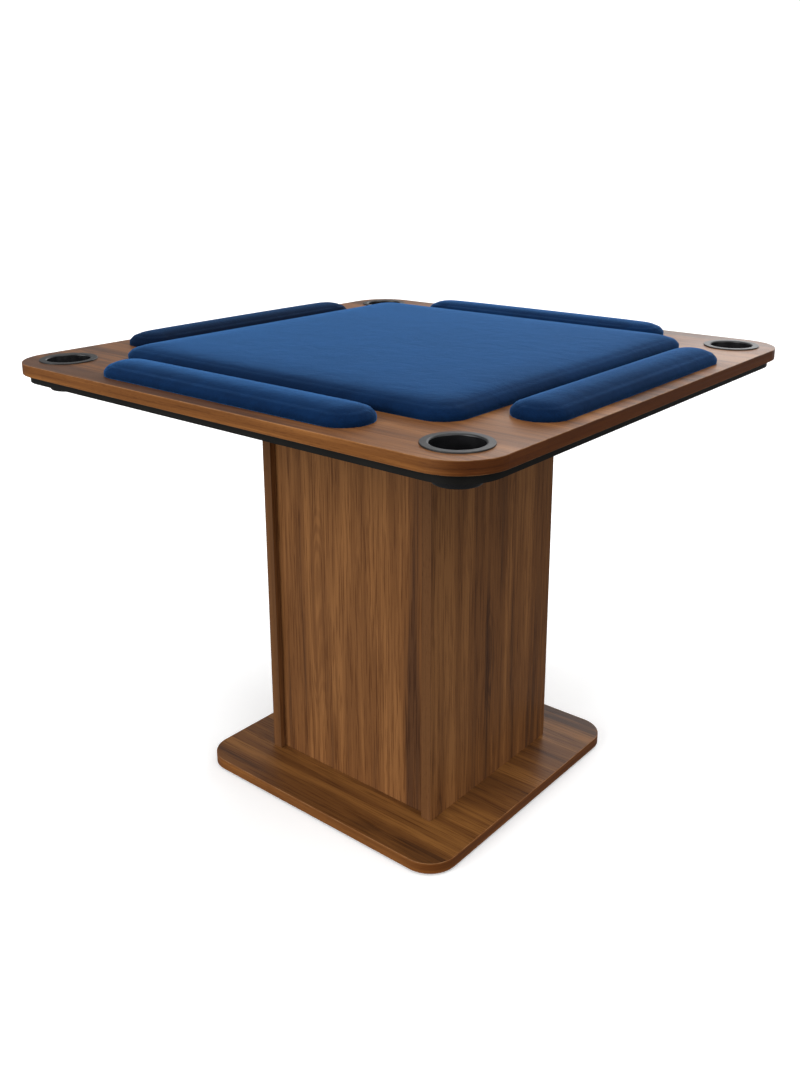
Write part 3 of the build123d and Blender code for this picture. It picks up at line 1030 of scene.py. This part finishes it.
@dataclass
class Boards:
    """Every board, band and fitting that keeps its frame mesh."""

    frame: dict

    def finish_of(self) -> dict[str, bpy.types.Material]:
        """Material of each frame node that stays.

        Returns:
            The materials by node name.
        """
        return {**self.hidden(), **self.bands(), **self.laminates(), **self.black_pieces()}

    def laminates(self) -> dict[str, bpy.types.Material]:
        """Walnut laminate of each board.

        Returns:
            The materials by node name.
        """
        finishes = {node: WalnutLaminate(*rest) for node, *rest in WALNUT_BOARDS}
        # The base board gets the darker walnut, which is painted shade.
        base = WalnutLaminate("walnut_base_painted_shade", Grain.ALONG_X, (4.0, 1.7, 9.0), *BASE_WALNUT_PAINTED_SHADE)
        finishes["base_board"] = base
        return {node: finish.build() for node, finish in finishes.items()}

    def bands(self) -> dict[str, bpy.types.Material]:
        """Edge banding of the top, the base and the column's side boards.

        Returns:
            The materials by node name.
        """
        top_low, top_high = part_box("top_edge_band")
        base_low, base_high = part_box("base_edge_band")
        top = WalnutEdge("walnut_edge_top", top_low.z, top_high.z)
        base = WalnutEdge("walnut_edge_base", base_low.z, base_high.z, painted_side_shade=BASE_PAINTED_SHADE)
        dark, middle, light = UPRIGHT_WALNUT
        upright = WalnutEdge(
            "walnut_edge_upright", 0.0, 1.0, upright=True, dark=dark, middle=middle, light=light
        ).build()
        return {
            "top_edge_band": top.build(),
            "base_edge_band": base.build(),
            "column_side_left_bands": upright,
            "column_side_right_bands": upright,
        }

    def black_pieces(self) -> dict[str, bpy.types.Material]:
        """Paint of the black board and plastic of the cup holders.

        Returns:
            The materials by node name.
        """
        rim_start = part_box("sub_top")[1].z + RIM_ABOVE_BLACK_BOARD
        gloss = GlossPlastic("cup_gloss", rim_start).build()
        cups = {f"cup_holder_{corner}": gloss for corner in CORNERS}
        return {"sub_top": BlackPaint("black_paint").build(), **cups}

    def hidden(self) -> dict[str, bpy.types.Material]:
        """Plain stuff of the fasteners, the glides and the pads' backing boards.

        Returns:
            The materials by node name.
        """
        finishes = {}
        for stuff, nodes in HIDDEN_STUFF:
            material = stuff.build()
            for node in nodes:
                finishes[node] = material
        return finishes

    def build(self) -> None:
        """Dress every frame node that stays."""
        for name, material in self.finish_of().items():
            dress(self.frame["nodes"][name], material)
            LOG.info("%s: %s", name, material.name)


# ------------------------------------------------------------------ studio
# Each light's name, direction from the table, irradiance and softness in degrees.
STUDIO_LIGHTS = (
    ("key", (-0.28, -1.0, 0.36), 2.3, 45.0),
    ("top", (0.15, 0.05, 1.0), 1.45, 64.0),
    ("side", (1.0, -0.25, 0.55), 1.0, 50.0),
    ("back", (-0.20, 1.0, 0.24), 1.10, 50.0),
)


@dataclass
class Studio:
    """Pale floor, soft lights and the camera."""

    sky: float = 0.42
    ground: float = 0.16
    horizon: float = 0.15
    backdrop: float = 1.05
    floor_radius: float = 30.0
    floor_glow: float = 0.22
    floor_dull: float = 0.96
    floor_clean: float = 0.98
    camera_place: Triple = (1.0837, -1.3268, 1.0770)
    yaw: float = -0.6882
    pitch: float = 0.2775
    roll: float = 0.0019
    sensor: float = 36.0
    farthest: float = 60.0
    lens: float = 34.733
    shift_x: float = -0.00586
    shift_y: float = -0.0945

    def build(self) -> None:
        """Make the floor, the lights and the camera."""
        self.floor()
        self.world()
        for name, toward, strength, softness in STUDIO_LIGHTS:
            self.light(name, Vector(toward), strength, softness)
        self.camera()

    def floor(self) -> None:
        """Large pale disc that the table stands on."""
        shape = bmesh.new()
        bmesh.ops.create_circle(shape, cap_ends=True, segments=96, radius=self.floor_radius)
        floor = new_object("floor", shape)
        sheet = NodeSheet("pale_floor")
        cloud = sheet.noise(sheet.place((1.5, 1.5, 1.5)), detail=2.0)
        colour = sheet.ramp(cloud, (0.3, (self.floor_dull,) * 3), (0.7, (self.floor_clean,) * 3))
        dress(
            floor,
            sheet.surface(
                Base_Color=colour,
                Roughness=0.9,
                Specular_IOR_Level=0.0,
                Emission_Color=WHITE,
                Emission_Strength=self.floor_glow,
            ),
        )
        floor.visible_diffuse = False
        floor.visible_glossy = False

    def world(self) -> None:
        """White surroundings to look at, and a softer sky above a dim ground to light the table."""
        world = bpy.data.worlds.new("studio")
        world.use_nodes = True
        tree = world.node_tree
        background = tree.nodes["Background"]
        background.inputs["Color"].default_value = (*WHITE, 1.0)
        where = tree.nodes.new("ShaderNodeTexCoord")
        split = tree.nodes.new("ShaderNodeSeparateXYZ")
        level = tree.nodes.new("ShaderNodeMapRange")
        seen = tree.nodes.new("ShaderNodeLightPath")
        choose = tree.nodes.new("ShaderNodeMix")
        level.inputs["From Min"].default_value = -self.horizon
        level.inputs["From Max"].default_value = self.horizon
        level.inputs["To Min"].default_value = self.ground
        level.inputs["To Max"].default_value = self.sky
        choose.inputs["B"].default_value = self.backdrop
        tree.links.new(where.outputs["Generated"], split.inputs["Vector"])
        tree.links.new(split.outputs["Z"], level.inputs["Value"])
        tree.links.new(seen.outputs["Is Camera Ray"], choose.inputs["Factor"])
        tree.links.new(level.outputs["Result"], choose.inputs["A"])
        tree.links.new(choose.outputs["Result"], background.inputs["Strength"])
        bpy.context.scene.world = world
        bpy.context.scene.view_settings.view_transform = "Standard"

    def light(self, name: str, toward: Vector, strength: float, softness: float) -> None:
        """Wide far light, soft at its shadows' edges.

        Args:
            name: Name of the light.
            toward: Direction from the table to the light.
            strength: Irradiance on a face square to it.
            softness: How wide it looks, in degrees.
        """
        data = bpy.data.lights.new(name, "SUN")
        data.energy = strength
        data.angle = math.radians(softness)
        lamp = bpy.data.objects.new(name, data)
        lamp.rotation_euler = toward.to_track_quat("Z", "Y").to_euler()
        bpy.context.scene.collection.objects.link(lamp)

    def camera(self) -> None:
        """Camera at eye height, looking down over the near corner of the top."""
        data = bpy.data.cameras.new("camera")
        data.sensor_width = self.sensor
        data.lens = self.lens
        data.shift_x = self.shift_x
        data.shift_y = self.shift_y
        data.clip_end = self.farthest
        camera = bpy.data.objects.new("camera", data)
        turn = Matrix.Rotation(-self.yaw, 4, "Z")
        turn = turn @ Matrix.Rotation(math.pi / 2 - self.pitch, 4, "X")
        turn = turn @ Matrix.Rotation(-self.roll, 4, "Z")
        camera.matrix_world = Matrix.Translation(self.camera_place) @ turn
        bpy.context.scene.collection.objects.link(camera)
        bpy.context.scene.camera = camera


def build_pads() -> None:
    """Make the centre pad and the four armrests, each armrest with its own painted light or shade on
    its velvet.
    """
    velvet = Velvet("velvet_centre").build()
    foam = "centre_pad_foam"
    centre = Pad("centre_pad", "centre_pad_cover", foam, CENTRE_CORNER, CENTRE_SHOULDER, velvet)
    centre.voxel = CENTRE_VOXEL
    centre.build()
    for index, (side, painted_light_and_shade) in enumerate(ARMREST_PAINTED_LIGHT_AND_SHADE.items()):
        shift = (3.1 * index + 1.0, 1.7 * index, 0.6 * index)
        velvet = Velvet(f"velvet_{side}", shift=shift, painted_light_and_shade=painted_light_and_shade).build()
        name = f"armrest_{side}"
        Pad(name, f"{name}_cover", f"{name}_foam", ARMREST_CORNER, ARMREST_SHOULDER, velvet).build()


def main() -> None:
    """Build the table's looks, part by part."""
    logging.basicConfig(level=logging.INFO, format="%(name)s %(message)s")
    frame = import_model()
    Studio().build()
    Boards(frame).build()
    build_pads()


if __name__ == "__main__":
    main()
